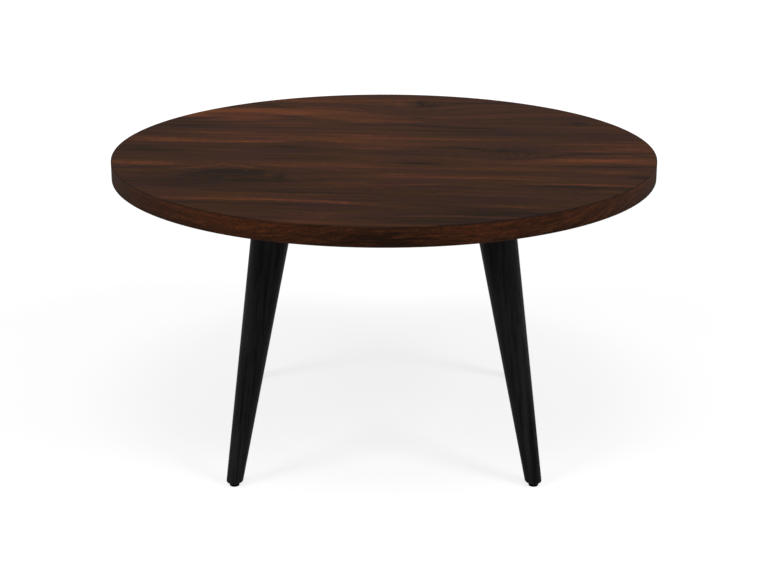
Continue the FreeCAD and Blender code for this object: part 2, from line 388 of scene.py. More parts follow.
@dataclass(frozen=True)
class Finish:
    """A surface finish: the numbers that are the same all over it, and a method that paints the rest."""

    name: str
    ior: float = 1.45
    gloss: float = 0.5
    sheen: float = 0.0
    sheen_roughness: float = 0.5
    bump_distance: float = 0.0002
    bump_strength: float = 0.3
    roughness: float = 0.5
    made: ClassVar[dict[str, bpy.types.Material]] = {}

    def material(self) -> bpy.types.Material:
        """Makes the finish once.

        Returns:
            The finish as a Blender material.
        """
        if self.name not in self.made:
            material = bpy.data.materials.new(self.name)
            material.use_nodes = True
            material.node_tree.nodes.clear()
            self._build(NodeBook(material.node_tree))
            self.made[self.name] = material
        return self.made[self.name]

    def _build(self, book: NodeBook) -> None:
        """Joins the painted values to a surface shader.

        Args:
            book: the material's nodes.
        """
        surface = {
            "IOR": self.ior,
            "Specular IOR Level": self.gloss,
            "Sheen Weight": self.sheen,
            "Sheen Roughness": self.sheen_roughness,
            **self.paint(book),
        }
        height = surface.pop("Height", None)
        if height is not None:
            bump = {
                "Height": height,
                "Distance": self.bump_distance,
                "Strength": self.bump_strength,
            }
            surface["Normal"] = book.node("ShaderNodeBump", {}, bump)
        shader = book.node("ShaderNodeBsdfPrincipled", {}, surface)
        book.node("ShaderNodeOutputMaterial", {}, {"Surface": shader})

    def paint(self, book: NodeBook) -> dict[str, Any]:
        """What changes over the surface, by the shader's socket names, with Height for relief."""
        raise NotImplementedError

    @staticmethod
    def place_mm(book: NodeBook) -> tuple[Field, ...]:
        """The surface's place in the table, in millimetres."""
        place = book.node("ShaderNodeTexCoord", {}, {}, "Object")
        return book.separate(book.vector_maths("MULTIPLY", place, (PER_MM, PER_MM, PER_MM)))


@dataclass(frozen=True)
class Walnut(Finish):
    """Walnut, from its dark lines to its amber ones."""

    dark: Colour = (0.0172, 0.0096, 0.0066)
    brown: Colour = (0.0500, 0.0193, 0.0092)
    amber: Colour = (0.1340, 0.0390, 0.0130)
    tone: float = 0.5

    def browns(self, book: NodeBook, tone: Field) -> Field:
        """The wood's colour for a tone from 0 to 1."""
        return book.ramp(tone, [(0.0, self.dark), (HALF, self.brown), (1.0, self.amber)])


@dataclass(frozen=True)
class WalnutFace(Walnut):
    """Dark walnut veneer: sloping bands and fine lines that flow round dark eyes."""

    slope_deg: float = -4.0
    seed: float = 0.0
    roughness: float = 0.6
    tone: float = 0.41
    eyes: tuple[Eye, ...] = ()
    lenses: tuple[Lens, ...] = ()
    streaks: tuple[Spot, ...] = ()
    marks: tuple[Spot, ...] = ()
    dots: tuple[Spot, ...] = ()
    rosy: Colour = (1.0, 0.95, 1.34)
    olive: Colour = (1.0, 1.045, 0.70)
    wide_bend: Layer = Layer((620, 260), 1.0, 3.1, strength=45)
    wave: Layer = Layer((170, 55), 2.0, 7.7, strength=22)
    small_wave: Layer = Layer((48, 14), 2.0, 1.3, strength=6)
    band: Layer = Layer((95, 1300), 0.5, 11.0)
    stripe: Layer = Layer((13, 520), 2.0, 23.0, strength=0.57)
    fine: Layer = Layer((5, 230), 2.0, 37.0, strength=0.55, rough=0.25, relief=0.4)
    fibre: Layer = Layer((1.6, 70), 2.0, 41.0, strength=0.2, relief=0.6)
    speck: Layer = Layer((3.6, 13), 1.0, 29.0, strength=0.35)
    dash: Layer = Layer((3.0, 24), 1.0, 31.0, (0.02, 0.16), 0.36)
    crack: Layer = Layer((14, 500), 2.0, 47.0, strength=0.2, relief=0.5)
    spark: Layer = Layer((19, 450), 2.0, 67.0, strength=0.12)
    dot: Layer = Layer((5, 5.5), 0.0, 59.0, (0.0, 0.14))
    pore: Layer = Layer((1.0, 14), 1.0, 53.0, (0.15, 0.25), 0.6, 0.12)
    cloud: Layer = Layer((26, 130), 2.0, 71.0, strength=2.0)
    pore_width: float = 0.6
    pore_drift: float = 3.0
    thread_edge: Span = (0.0, 0.06)
    patch_edge: Span = (-0.08, 0.1)
    patch_width: float = 3.0
    patch_rate: float = 1.8
    patch_seed: float = 2.0
    patch_detail: float = 1.0
    lens_far_edge: Span = (0.0, 0.25)
    lens_near_edge: Span = (-1.0, 0.8)
    lens_ragged: float = 1.5
    lens_grain: float = 1.5
    glow_level: float = 0.95
    glow_stripe: float = 1.4
    glow_fine: float = 1.6
    shade_stripe: float = 0.8
    shade_fine: float = 1.2
    mark_level: float = 1.2
    mark_speck: float = 1.2
    rim_edge: Span = (404.6, 406.2)
    rim_darkening: float = 0.25

    def flow(self, book: NodeBook, along: Field, across: Field) -> tuple[Field, Field, Field, Number]:
        """The grain's bent coordinate.

        Args:
            book: the material's nodes.
            along: place along the grain.
            across: place across it.

        Returns:
            The coordinate that is constant along a grain line, with and without its widest bends,
            the place across with no more than a small wave, and how far inside an eye it is.
        """
        wide, wave, small = (
            book.layer(bend, (along, across), self.seed) * bend.strength
            for bend in (self.wide_bend, self.wave, self.small_wave)
        )
        level = across + small
        bent = level
        inside: Number = 0.0
        for eye in self.eyes:
            offset = across - eye.across
            far = ((along - eye.along) / eye.half_length) ** 2 + (offset / eye.half_width) ** 2
            near = (-far).maths("EXPONENT")
            bent = bent - near * (offset * eye.spread - eye.sag)
            inside = near * eye.calm + inside
        return bent + wave + wide, bent, level, inside

    def lens_shade(self, along: Field, level: Field, ragged: Field) -> Number:
        """How dark the lenses make a place.

        Args:
            along: place along the grain.
            level: place across it.
            ragged: a small unevenness for the lenses' far side.

        Returns:
            The lenses' strength there.
        """
        total: Number = 0.0
        for lens in self.lenses:
            height = (level - lens.base) / lens.rise
            arch = 1.0 - ((along - lens.along) / lens.half_length) ** 2
            under = (arch - height + ragged).smoothstep(*self.lens_far_edge)
            total = under * height.smoothstep(*self.lens_near_edge) * lens.strength + total
        return total

    def threads(self, book: NodeBook, layer: Layer, line: Field, along: Field) -> Field:
        """Thin lines that come and go along the grain.

        Args:
            book: the material's nodes.
            layer: how far apart the lines are, and how long.
            line: the grain's bent coordinate.
            along: place along the grain.

        Returns:
            1 on a thread and 0 off it.
        """
        width, length = layer.size
        seed = self.seed + layer.seed
        sideways = line / width
        onward = along / length
        ridge = book.noise(book.combine(sideways, onward, seed), layer.detail).maths("ABSOLUTE")
        where = book.combine(sideways / self.patch_width, onward * self.patch_rate, seed + self.patch_seed)
        patch = book.noise(where, self.patch_detail)
        return (1.0 - ridge.smoothstep(*self.thread_edge)) * patch.smoothstep(*self.patch_edge)

    def paint(self, book: NodeBook) -> dict[str, Any]:
        """Bands, lines, fibres and pores along the bent grain, with short dashes inside the eyes.

        Args:
            book: the material's nodes.

        Returns:
            The painted values, by socket name.
        """
        x, y, _ = self.place_mm(book)
        cosine = math.cos(math.radians(self.slope_deg))
        sine = math.sin(math.radians(self.slope_deg))
        along = x * cosine + y * sine
        across = y * cosine - x * sine
        line, near_line, level, inside = self.flow(book, along, across)
        band, stripe, fine, fibre, speck, cloud = (
            book.layer(layer, (line, along), self.seed)
            for layer in (self.band, self.stripe, self.fine, self.fibre, self.speck, self.cloud)
        )
        dash = book.layer(self.dash, (near_line, along), self.seed)
        dot = book.layer(self.dot, (level, along), self.seed)
        pore_line = across / self.pore_width + line / self.pore_drift
        pore = book.layer(self.pore, (pore_line, along), self.seed)
        crack = self.threads(book, self.crack, line, along)
        spark = self.threads(book, self.spark, line, along)

        place = book.combine(along, near_line)
        glow = book.spots(place, tuple(spot for spot in self.streaks if spot.strength > 0))
        shade = book.spots(place, tuple(spot for spot in self.streaks if spot.strength < 0))
        glow = glow * (stripe * self.glow_stripe + fine * self.glow_fine + self.glow_level)
        shade = shade * (1.0 - stripe * self.shade_stripe - fine * self.shade_fine)
        spot_place = book.combine(along, level)
        marks = book.spots(spot_place, self.marks) * (self.mark_level + speck * self.mark_speck)
        dots = book.spots(spot_place, self.dots) * dot
        lens = self.lens_shade(along, level, fine * self.lens_ragged)
        lens = lens * (1.0 + speck * self.lens_grain - fine * self.lens_grain)
        rim = (x * x + y * y).maths("SQRT").smoothstep(*self.rim_edge)

        lines = stripe * self.stripe.strength + fine * self.fine.strength
        lines = lines + spark * self.spark.strength - crack * self.crack.strength
        tone = band + lines * (1.0 - inside)
        tone = tone + fibre * self.fibre.strength + speck * self.speck.strength + glow + shade
        tone = tone + marks - dots - lens
        # the face is darker in a thin line along its outer rim
        tone = tone - dash * inside * self.dash.strength - rim * self.rim_darkening + self.tone
        tint = book.mix((cloud * self.cloud.strength + HALF).clamp(), self.rosy, self.olive)
        colour = book.mix(1.0, self.browns(book, tone), tint, "MULTIPLY")
        relief = fibre * self.fibre.relief + fine * self.fine.relief - pore
        return {
            "Base Color": book.mix(pore * self.pore.strength, colour, self.dark),
            "Roughness": fine * self.fine.rough + pore * self.pore.rough + self.roughness,
            "Height": relief - crack * self.crack.relief,
        }


@dataclass(frozen=True)
class WalnutEdge(Walnut):
    """Walnut lipping round the rim: redder, with short dark flecks along it and a slant at the sides."""

    radius: float = 406.5
    level: float = 449.0
    roughness: float = 0.8
    tone: float = 0.54
    smears: tuple[Spot, ...] = ()
    calms: tuple[Spot, ...] = ()
    slants: tuple[Slant, ...] = ()
    dark: Colour = (0.0126, 0.0055, 0.0030)
    brown: Colour = (0.0388, 0.0129, 0.0055)
    amber: Colour = (0.0970, 0.0260, 0.0080)
    wave: Layer = Layer((95, 26), 2.0, 5.0, strength=9)
    band: Layer = Layer((10, 330), 2.0, 2.0, strength=0.9)
    fine: Layer = Layer((2.6, 36), 3.0, 9.0, strength=1.3, rough=0.25, relief=0.5, roughness=0.65)
    fibre: Layer = Layer((0.9, 12), 2.0, 19.0, strength=0.8, relief=0.4)
    fleck: Layer = Layer((1.3, 5.5), 2.0, 14.0, (0.02, 0.2), 0.8, 0.1)
    smear_and_shade_fine: float = 2.5

    def paint(self, book: NodeBook) -> dict[str, Any]:
        """Grain, flecks, smears and painted shade low down, by the distance round the rim and the depth
        below the face.

        Args:
            book: the material's nodes.

        Returns:
            The painted values, by socket name.
        """
        x, y, z = self.place_mm(book)
        along = x.maths("ARCTAN2", -y) * self.radius
        depth = z - self.level
        line = depth + book.layer(self.wave, (along, depth)) * self.wave.strength
        for slant in self.slants:
            line = line - ((along - slant.middle) / slant.reach).maths("TANH") * slant.rise
        band, fine, fibre, fleck = (
            book.layer(layer, (line, along)) for layer in (self.band, self.fine, self.fibre, self.fleck)
        )
        place = book.combine(along, depth)
        lively = 1.0 - book.spots(place, self.calms)
        grain = band * self.band.strength + fine * self.fine.strength + fibre * self.fibre.strength
        # the smears add dark grain marks, and painted shade low on the rim
        smear_and_shade = book.spots(place, self.smears) * (1.0 - fine * self.smear_and_shade_fine)
        colour = self.browns(book, grain * lively + self.tone + smear_and_shade)
        return {
            "Base Color": book.mix(fleck * lively * self.fleck.strength, colour, self.dark),
            "Roughness": fine * self.fine.rough + fleck * self.fleck.rough + self.roughness,
            "Height": fine * self.fine.relief + fibre * self.fibre.relief - fleck,
        }


@dataclass(frozen=True)
class CoreBoard(Finish):
    """Pressed wood chips inside the top."""

    roughness: float = 0.85
    chip_size: tuple[float, float, float] = (3.0, 3.0, 1.2)
    dark_chip: Colour = (0.23, 0.14, 0.075)
    pale_chip: Colour = (0.46, 0.33, 0.2)

    def paint(self, book: NodeBook) -> dict[str, Any]:
        """Chips of several browns.

        Args:
            book: the material's nodes.

        Returns:
            The painted values, by socket name.
        """
        place = book.scaled(self.place_mm(book), self.chip_size)
        chip = book.node("ShaderNodeTexVoronoi", {}, {"Vector": place, "Scale": 1.0}, "Color")
        share, _, _ = book.separate(chip)
        colour = book.ramp(share, [(0.0, self.dark_chip), (1.0, self.pale_chip)])
        return {"Base Color": colour, "Roughness": self.roughness, "Height": share}


@dataclass(frozen=True)
class BlackStainedWood(Finish):
    """Black-stained, satin-lacquered turned wood whose grain still shows along each leg."""

    black: Colour = (0.0008, 0.0008, 0.0008)
    worn: Colour = (0.0112, 0.0112, 0.0113)
    tone: float = 0.53
    runout: float = 0.085
    ring_pitch: float = 9.0
    late_edge: Span = (0.45, 1.0)
    late_strength: float = 0.26
    foot_fade: Span = (20.0, 150.0)
    foot_strength: float = 0.11
    wander: Layer = Layer((30, 30, 110), 2.0, strength=11)
    patch: Layer = Layer((14, 30, 140), 1.0, strength=1.3)
    streak: Layer = Layer((5, 6, 130), 2.0, strength=1.8, rough=0.15)
    fine: Layer = Layer((1.4, 1.6, 40), 2.0, strength=1.1, relief=0.6)
    dash: Layer = Layer((2.6, 2.4, 32), 2.0, edge=(0.04, 0.18), strength=0.32, relief=0.3)
    pore: Layer = Layer((0.5, 0.6, 11), 1.0, edge=(0.16, 0.26), rough=0.12)

    def paint(self, book: NodeBook) -> dict[str, Any]:
        """Growth rings that cut the leg in streaks and points, with dashes and pores along it.

        Args:
            book: the material's nodes.

        Returns:
            The painted values, by socket name.
        """
        grain = book.node("ShaderNodeAttribute", {"attribute_name": "grain"}, {}, "Vector")
        out, side, along = book.separate(
            book.vector_maths("MULTIPLY", grain, (PER_MM, PER_MM, PER_MM))
        )
        wander = book.layer(self.wander, (out, side, along)) * self.wander.strength
        ring = out - along * self.runout + wander
        late = (ring / self.ring_pitch).maths("FRACT").smoothstep(*self.late_edge)
        patch, streak, fine, dash, pore = (
            book.layer(layer, (ring, side, along))
            for layer in (self.patch, self.streak, self.fine, self.dash, self.pore)
        )
        tone = streak * self.streak.strength + patch * self.patch.strength + fine * self.fine.strength
        tone = tone - dash * self.dash.strength - late * self.late_strength
        tone = tone + along.smoothstep(*self.foot_fade) * self.foot_strength + self.tone
        return {
            "Base Color": book.mix(tone.clamp(), self.black, self.worn),
            "Roughness": streak * self.streak.rough + pore * self.pore.rough + self.roughness,
            "Height": fine * self.fine.relief - pore - dash * self.dash.relief,
        }


@dataclass(frozen=True)
class PowderCoat(Finish):
    """Black powder-coated steel with a fine orange-peel skin."""

    black: Colour = (0.010, 0.010, 0.010)
    grey: Colour = (0.022, 0.022, 0.023)
    peel: Layer = Layer((0.7, 0.7, 0.7), 2.0)
    cloud: Layer = Layer((18, 18, 18), 2.0, rough=0.2)

    def paint(self, book: NodeBook) -> dict[str, Any]:
        """A fine pebbled skin, slightly uneven in gloss.

        Args:
            book: the material's nodes.

        Returns:
            The painted values, by socket name.
        """
        place = self.place_mm(book)
        cloud = book.layer(self.cloud, place)
        return {
            "Base Color": book.mix(cloud + HALF, self.black, self.grey),
            "Roughness": cloud * self.cloud.rough + self.roughness,
            "Height": book.layer(self.peel, place),
        }


@dataclass(frozen=True)
class ZincPlate(Finish):
    """Zinc-plated steel, a little cloudy."""

    roughness: float = 0.34
    dull: Colour = (0.42, 0.42, 0.41)
    bright: Colour = (0.62, 0.62, 0.60)
    cloud: Layer = Layer((4, 4, 4), 2.0, rough=0.3)
    turning: Layer = Layer((6, 6, 0.25), 1.0)

    def paint(self, book: NodeBook) -> dict[str, Any]:
        """Cloudy plating with faint turning marks.

        Args:
            book: the material's nodes.

        Returns:
            The painted values, by socket name.
        """
        place = self.place_mm(book)
        cloud = book.layer(self.cloud, place)
        return {
            "Base Color": book.mix(cloud + HALF, self.dull, self.bright),
            "Metallic": 1.0,
            "Roughness": cloud * self.cloud.rough + self.roughness,
            "Height": book.layer(self.turning, place),
        }


@dataclass(frozen=True)
class BlackNylon(Finish):
    """Moulded black nylon with a fine matt grain, scuffed paler at the sole."""

    roughness: float = 0.7
    black: Colour = (0.0012, 0.0012, 0.0012)
    scuffed: Colour = (0.006, 0.006, 0.006)
    sole: Span = (0.2, 2.0)
    grain: Layer = Layer((0.4, 0.4, 0.4), 2.0, rough=0.2)
    scuff: Layer = Layer((2.5, 2.5, 1.5), 2.0, edge=(0.0, 0.3), strength=0.4)

    def paint(self, book: NodeBook) -> dict[str, Any]:
        """Moulded grain, and scuffs near the floor.

        Args:
            book: the material's nodes.

        Returns:
            The painted values, by socket name.
        """
        place = self.place_mm(book)
        grain = book.layer(self.grain, place)
        low = 1.0 - place[2].smoothstep(*self.sole)
        share = book.layer(self.scuff, place) * low * self.scuff.strength
        return {
            "Base Color": book.mix(share, self.black, self.scuffed),
            "Roughness": grain * self.grain.rough + self.roughness,
            "Height": grain,
        }


# The face's features lie at millimetres along the grain and across it, from the middle of the top.
FACE_EYES = (
    Eye(-188, -160, 125, 50, 0.55, calm=0.8),
    Eye(172, 3, 95, 34, 0.6, calm=0.7),
    Eye(38, 332, 50, 34, 0.6),
    Eye(70, -221, 95, 50, 0.5),
    Eye(30, 255, 130, 60, 0, 42, 0.2),
    Eye(190, 202, 60, 30, 0.5, calm=0.4),
    Eye(296, 203, 60, 30, 0.5, calm=0.4),
    Eye(286, -220, 75, 42, 0.5, calm=0.4),
    Eye(-40, 310, 330, 70, 0, calm=0.25),
)
FACE_LENSES = (Lens(-206, -160, 78, 44, 0.36),)
FACE_STREAKS = (
    Spot(-30, 330, 330, 70, 0.22),
    Spot(-150, 300, 150, 50, 0.13),
    Spot(-190, 180, 230, 110, 0.14),
    Spot(-250, 205, 110, 60, 0.12),
    Spot(310, 250, 110, 55, -0.18),
    Spot(180, 45, 110, 45, -0.13),
    Spot(80, -50, 110, 40, -0.12),
    Spot(230, -150, 200, 40, 0.14),
    Spot(190, -252, 240, 45, -0.17),
    Spot(-20, -350, 270, 40, 0.08),
    Spot(-300, -262, 100, 60, -0.14),
    Spot(0, -250, 150, 40, -0.06),
    Spot(0, 140, 110, 35, 0.12),
    Spot(-240, 258, 150, 40, 0.16),
    Spot(-60, -320, 380, 70, -0.07),
    Spot(-230, -300, 190, 60, -0.04),
    Spot(200, 250, 190, 50, -0.13),
    Spot(10, 285, 80, 45, -0.13),
    Spot(60, -150, 190, 45, 0.14),
    Spot(-330, 50, 90, 40, 0.1),
    Spot(-160, 45, 90, 40, -0.12),
    Spot(-330, -150, 90, 40, -0.1),
    Spot(330, 60, 130, 110, -0.09),
    Spot(-78, 257, 60, 25, 0.12),
    Spot(-45, 72, 180, 12, 0.22),
    Spot(23, 97, 80, 20, 0.12),
    Spot(-83, -98, 60, 9, 0.2),
    Spot(368, 36, 50, 20, 0.07),
    Spot(50, -137, 90, 20, 0.15),
    Spot(-83, -387, 70, 8, 0.2),
    Spot(-215, -215, 140, 26, -0.14),
    Spot(-215, -182, 140, 30, -0.2),
    Spot(70, -221, 75, 26, -0.12),
    Spot(286, -225, 60, 26, -0.12),
    Spot(194, -332, 70, 18, -0.2),
    Spot(-380, -7, 60, 40, -0.06),
    Spot(141, 140, 100, 25, -0.12),
    Spot(321, 143, 80, 40, -0.12),
)
FACE_MARKS = (
    Spot(-352, 59, 70, 6, 0.4, -4),
    Spot(-330, 42, 75, 6, 0.36, -3),
    Spot(-225, 44, 60, 7, 0.25),
    Spot(-165, 55, 60, 7, 0.28, 8),
    Spot(-341, -98, 80, 13, 0.55, -2),
    Spot(-353, -139, 40, 5, 0.25, -4),
    Spot(-262, -114, 36, 5, 0.3, 24),
    Spot(-228, -99, 32, 5, 0.2, -8),
    Spot(-196, -108, 24, 5, 0.28, -24),
    Spot(-150, -97, 55, 7, 0.3, -8),
    Spot(-250, -285, 70, 6, 0.26, -2),
    Spot(-150, -286, 80, 6, 0.42, -3),
    Spot(-35, -295, 75, 7, 0.46, -8),
    Spot(-326, 232, 26, 14, 0.36, 40),
    Spot(-262, 263, 60, 11, 0.44, 8),
    Spot(-169, 252, 40, 10, 0.4, -6),
    Spot(-255, 205, 55, 6, 0.22, 12),
    Spot(0, 333, 24, 9, 0.28, -20),
    Spot(-42, 197, 30, 10, 0.32, -6),
    Spot(330, -38, 85, 10, 0.42, 2),
    Spot(320, -181, 70, 6, 0.5, -3),
    Spot(360, 33, 60, 8, 0.22, -7),
    Spot(17, -142, 34, 7, 0.24, 2),
    Spot(198, -300, 60, 6, 0.28, -4),
    Spot(58, -193, 40, 6, 0.22, 14),
    Spot(-170, -168, 45, 4, 0.18, 2),
    Spot(-188, -131, 4, 5, 0.5),
    Spot(-154, -152, 5, 5, 0.5),
    Spot(-138, -55, 45, 5, -0.35, -1),
    Spot(-150, 18, 28, 9, -0.25, -12),
    Spot(-354, -10, 45, 14, -0.2, -22),
    Spot(-237, -319, 50, 9, 0.24, -2),
    Spot(-162, -186, 45, 5, -0.25, -2),
    Spot(-214, 303, 40, 9, -0.3, -20),
    Spot(-164, 220, 30, 7, -0.35, -12),
    Spot(-325, 150, 75, 20, -0.38),
    Spot(-36, 168, 70, 5, -0.3, 6),
    Spot(64, 168, 55, 5, -0.32, -9),
    Spot(141, 158, 50, 5, -0.28, -6),
    Spot(69, 158, 34, 7, -0.22, -3),
    Spot(35, 335, 22, 3.5, -0.4, 83),
    Spot(43, 329, 20, 3.5, -0.4, 81),
    Spot(72, 321, 28, 5, -0.3, 13),
    Spot(43, 225, 13, 5, -0.34, -7),
    Spot(296, 203, 16, 12, -0.34, -50),
    Spot(256, -17, 38, 5, -0.34, 22),
    Spot(330, 0, 45, 5, -0.34, 4),
    Spot(385, -8, 24, 5, -0.32, -20),
    Spot(330, -73, 75, 5, -0.36, 1),
    Spot(300, -198, 32, 5, -0.36, -4),
    Spot(373, -132, 13, 6, -0.38, 4),
    Spot(96, 28, 20, 6, -0.18, 4),
    Spot(128, 23, 22, 4, -0.44, -16),
    Spot(182, 10, 38, 7, -0.3, -1),
    Spot(57, -71, 30, 5, -0.42, -5),
    Spot(100, -376, 105, 14, -0.32, 3),
    Spot(-128, -371, 40, 8, -0.24, 2),
    Spot(-130, -12, 60, 9, -0.26, 2),
    Spot(-83, -49, 32, 8, -0.28, -3),
    Spot(-290, -211, 80, 12, -0.26, -2),
    Spot(188, -42, 36, 8, -0.24, 3),
    Spot(-262, 102, 75, 8, 0.38, -2),
    Spot(23, 198, 30, 8, 0.28, -3),
    Spot(12, 357, 40, 9, 0.24, 2),
    Spot(-69, 54, 40, 7, 0.26, -2),
    Spot(-31, -195, 36, 8, 0.24, 2),
    Spot(340, -108, 40, 7, 0.26, 2),
    Spot(-62, -356, 45, 8, 0.26, 2),
    Spot(-25, 14, 50, 7, 0.28, -3),
    Spot(-55, 95, 50, 8, 0.24, -2),
    Spot(315, 16, 40, 7, 0.26, -2),
    Spot(-330, 215, 40, 8, 0.24, 10),
    Spot(-240, 194, 45, 7, 0.24, 6),
    Spot(-189, 242, 40, 7, 0.22, -3),
)
FACE_DOTS = (
    Spot(203, -3, 34, 22, 0.45),
    Spot(190, 202, 14, 11, 0.5),
    Spot(-150, 222, 30, 8, 0.25),
)
# The rim's features lie at millimetres round it from the front, and up from the face.
EDGE_SMEARS_AND_SHADE = (
    Spot(4, -17, 50, 4.5, -0.5),
    Spot(-42, -13, 42, 3, -0.32),
    Spot(12, -24, 46, 3, -0.35),
    # painted shade: the rim darker towards its lower edge, all along the front
    Spot(0, -30, 700, 8, -0.34),
    Spot(-60, -0.5, 330, 2.2, -0.28),
    Spot(-225, -12, 70, 16, 0.1),
    Spot(100, -9, 60, 6, 0.1),
    Spot(0, -8, 70, 14, -0.16),
    Spot(240, -14, 60, 30, -0.08),
    Spot(-470, -14, 150, 30, -0.17),
    Spot(400, -14, 90, 30, -0.06),
    Spot(6, -14, 60, 7, -0.24),
    Spot(-112, -16, 55, 8, -0.18),
    Spot(-241, -5, 60, 5, 0.24),
)
EDGE_CALMS = (Spot(-500, -14, 110, 60, 0.65), Spot(540, -14, 90, 60, 0.5))
EDGE_SLANTS = (Slant(-120, 110, 18), Slant(120, 90, -8), Slant(345, 85, 28))

WALNUT_FACE = WalnutFace(
    "walnut_face",
    ior=1.1,
    gloss=0.0,
    sheen=0.034,
    eyes=FACE_EYES,
    lenses=FACE_LENSES,
    streaks=FACE_STREAKS,
    marks=FACE_MARKS,
    dots=FACE_DOTS,
)
WALNUT_BACKING = WalnutFace(
    "walnut_backing", ior=1.1, gloss=0.0, sheen=0.034, slope_deg=1.5, seed=60.0
)
WALNUT_EDGE = WalnutEdge(
    "walnut_edge",
    ior=1.1,
    gloss=0.0,
    sheen=0.046,
    smears=EDGE_SMEARS_AND_SHADE,
    calms=EDGE_CALMS,
    slants=EDGE_SLANTS,
)
CORE_BOARD = CoreBoard("core_board")
LEG_BLACK = BlackStainedWood("black_stained_wood", ior=1.12)
PLATE_BLACK = PowderCoat("black_powder_coat", bump_distance=0.0001)
ZINC = ZincPlate("zinc_plate", bump_distance=0.00005)
NYLON = BlackNylon("black_nylon", ior=1.12, bump_distance=0.00008)


class ShapeTree(NodeBook):
    """A Geometry Nodes tree with named inputs that ends in one realised, painted mesh."""

    def __init__(self, name: str, sizes: dict[str, float]) -> None:
        """Starts a tree whose inputs are the sizes.

        Args:
            name: the tree's name.
            sizes: each input's name and value.
        """
        super().__init__(bpy.data.node_groups.new(name, "GeometryNodeTree"))
        self.tree.interface.new_socket("Geometry", in_out="OUTPUT", socket_type="NodeSocketGeometry")
        self.values: dict[str, Any] = {}
        for size, value in sizes.items():
            item = self.tree.interface.new_socket(size, in_out="INPUT", socket_type="NodeSocketFloat")
            self.values[item.identifier] = value
        group = self.tree.nodes.new("NodeGroupInput")
        self.sizes = {size: Field(self, group.outputs[size]) for size in sizes}

    def wheel(self, sides: int, rows: int) -> tuple[Field, Field, Field]:
        """A sheet of faces to be bent round an axis.

        Args:
            sides: faces round the axis.
            rows: rings of points, from the bottom to the top.

        Returns:
            The sheet, each point's turn round the axis, and the number of its row.
        """
        sockets = {"Size X": 1.0, "Size Y": 1.0, "Vertices X": sides + 1, "Vertices Y": rows}
        sheet = self.node("GeometryNodeMeshGrid", {}, sockets, "Mesh")
        x, y, _ = self.separate(self.node("GeometryNodeInputPosition"))
        return sheet, (x + HALF) * FULL_TURN, ((y + HALF) * (rows - 1)).maths("ROUND")

    @staticmethod
    def first_rows(row: Field, count: int) -> Field:
        """1 on the first rows of a wheel and 0 above them."""
        return row.maths("LESS_THAN", count - HALF)

    def poles(self, row: Field, rows: int) -> Field:
        """1 on a wheel's first and last rows, which close on the axis, and 0 between them."""
        return self.first_rows(row, 1) + row.maths("GREATER_THAN", rows - 1 - HALF)

    def pick(self, row: Field, values: list[Number]) -> Field:
        """One of several numbers, by row."""
        sockets = {"Index": row, **{str(place): value for place, value in enumerate(values)}}
        return self.node("GeometryNodeIndexSwitch", {"data_type": "FLOAT", "items": len(values)}, sockets)

    def bent(self, sheet: Field, x: Number, y: Number, z: Number) -> Field:
        """The sheet moved to its places, with its seam and poles closed.

        Args:
            sheet: the sheet of faces.
            x: each point's place to the right.
            y: its place to the rear.
            z: its height.

        Returns:
            The closed mesh.
        """
        sockets = {"Geometry": sheet, "Position": self.combine(x, y, z)}
        moved = self.node("GeometryNodeSetPosition", {}, sockets)
        closing = {"Geometry": moved, "Distance": MERGE_DISTANCE}
        return self.node("GeometryNodeMergeByDistance", {}, closing)

    def turned(self, wheel: tuple[Field, Field, Field], rings: list[tuple[Number, Number]]) -> Field:
        """A turned solid about the upright axis.

        Args:
            wheel: a sheet with a row for each ring, the points' turns and their rows.
            rings: radius and height of each ring, from the bottom outwards and up.

        Returns:
            The closed mesh.
        """
        sheet, turn, row = wheel
        radius = self.pick(row, [ring[0] for ring in rings])
        height = self.pick(row, [ring[1] for ring in rings])
        return self.bent(sheet, radius * turn.maths("COSINE"), radius * turn.maths("SINE"), height)

    def rotated(self, x: Field, y: Field, turn: Number) -> tuple[Field, Field]:
        """A point turned about the upright axis.

        Args:
            x: its place to the right.
            y: its place to the rear.
            turn: the angle in radians.

        Returns:
            Its new place to the right and to the rear.
        """
        cosine = self.maths("COSINE", turn)
        sine = self.maths("SINE", turn)
        return x * cosine - y * sine, x * sine + y * cosine

    def piece(
        self, name: str, shape: Field, finish: Finish, crease_deg: float = 32.0
    ) -> bpy.types.Object:
        """Ends the tree and turns it into a plain mesh piece.

        Args:
            name: the piece's name.
            shape: the geometry that the tree makes.
            finish: its material.
            crease_deg: edges sharper than this stay sharp.

        Returns:
            The piece, at the origin.
        """
        whole = self.node("GeometryNodeRealizeInstances", {}, {"Geometry": shape})
        sockets = {"Geometry": whole, "Material": finish.material()}
        painted = self.node("GeometryNodeSetMaterial", {}, sockets)
        self.node("NodeGroupOutput", {}, {"Geometry": painted})
        maker = bpy.data.objects.new(f"{name}_maker", bpy.data.meshes.new(f"{name}_maker"))
        bpy.context.scene.collection.objects.link(maker)
        modifier = maker.modifiers.new(name, "NODES")
        modifier.node_group = self.tree
        for identifier, value in self.values.items():
            modifier[identifier] = value
        graph = bpy.context.evaluated_depsgraph_get()
        mesh = bpy.data.meshes.new_from_object(
            maker.evaluated_get(graph), preserve_all_data_layers=True, depsgraph=graph
        )
        maker.modifiers.remove(modifier)
        bpy.data.objects.remove(maker)
        self._crease(mesh, math.radians(crease_deg))
        mesh.name = name
        made = bpy.data.objects.new(name, mesh)
        bpy.context.scene.collection.objects.link(made)
        return made

    @staticmethod
    def _crease(mesh: bpy.types.Mesh, limit: float) -> None:
        """Shades a mesh smooth except across its sharp edges.

        Args:
            mesh: the piece's mesh.
            limit: the angle in radians from which an edge is sharp.
        """
        shell = bmesh.new()
        shell.from_mesh(mesh)
        for face in shell.faces:
            face.smooth = True
        for edge in shell.edges:
            edge.smooth = len(edge.link_faces) == 2 and edge.calc_face_angle() < limit
        shell.to_mesh(mesh)
        shell.free()


